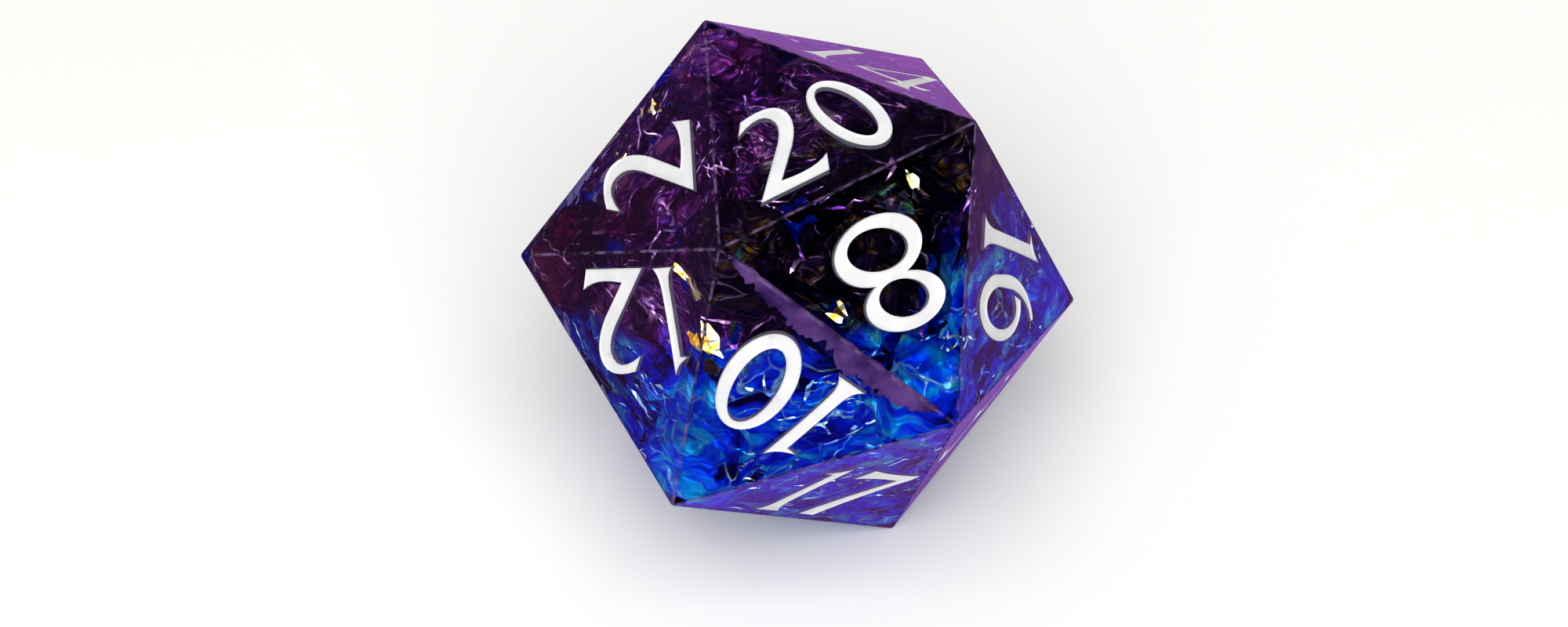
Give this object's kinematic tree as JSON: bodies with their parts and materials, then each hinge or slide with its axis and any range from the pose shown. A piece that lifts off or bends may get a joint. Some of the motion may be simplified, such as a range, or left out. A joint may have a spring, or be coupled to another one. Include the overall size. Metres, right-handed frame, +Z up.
{
  "type": "polyhedral die",
  "caption": "Polyhedral gaming die: a clear violet resin icosahedron with crumpled colour-shifting film cast inside and a white-filled engraved number on every face.",
  "frame": {"origin": "on the surface that the die stands on, under its middle: the bottom centre of its box, which is the middle of face 1", "axes": "+Z up, out of the top face, 20; +Y towards the corner that the 20 points at; +X to the right of that number"},
  "size_m": [0.0214, 0.0248, 0.02],
  "materials": {
    "tinted_resin": "clear violet cast resin, polished, with sharp edges",
    "number_paint": "white acrylic paint dried in the engraving, satin",
    "violet_film": "crumpled colour-shifting film, violet to pink",
    "blue_film": "crumpled colour-shifting film, blue to aqua",
    "amber_film": "crumpled colour-shifting film, amber to green"
  },
  "bodies": {
    "root": {"resin_body": "tinted_resin", "numeral_01": "number_paint", "numeral_02": "number_paint", "numeral_03": "number_paint", "numeral_04": "number_paint", "numeral_05": "number_paint", "numeral_06": "number_paint", "numeral_07": "number_paint", "numeral_08": "number_paint", "numeral_09": "number_paint", "numeral_10": "number_paint", "numeral_11": "number_paint", "numeral_12": "number_paint", "numeral_13": "number_paint", "numeral_14": "number_paint", "numeral_15": "number_paint", "numeral_16": "number_paint", "numeral_17": "number_paint", "numeral_18": "number_paint", "numeral_19": "number_paint", "numeral_20": "number_paint", "blue_film_01": "blue_film", "violet_film_02": "violet_film", "blue_film_03": "blue_film", "violet_film_04": "violet_film", "blue_film_05": "blue_film", "violet_film_06": "violet_film", "blue_film_07": "blue_film", "violet_film_08": "violet_film", "blue_film_09": "blue_film", "blue_film_10": "blue_film", "blue_film_11": "blue_film", "violet_film_12": "violet_film", "blue_film_13": "blue_film", "violet_film_14": "violet_film", "blue_film_15": "blue_film", "blue_film_16": "blue_film", "blue_film_17": "blue_film", "violet_film_18": "violet_film", "blue_film_19": "blue_film", "violet_film_20": "violet_film", "blue_film_21": "blue_film", "violet_film_22": "violet_film", "amber_film_23": "amber_film", "violet_film_24": "violet_film", "blue_film_25": "blue_film", "amber_film_26": "amber_film", "blue_film_27": "blue_film", "violet_film_28": "violet_film", "amber_film_29": "amber_film", "blue_film_30": "blue_film", "blue_film_31": "blue_film", "amber_film_32": "amber_film", "blue_film_33": "blue_film", "violet_film_34": "violet_film", "amber_film_35": "amber_film", "blue_film_36": "blue_film", "blue_film_37": "blue_film", "amber_film_38": "amber_film"}
  },
  "joints": []
}
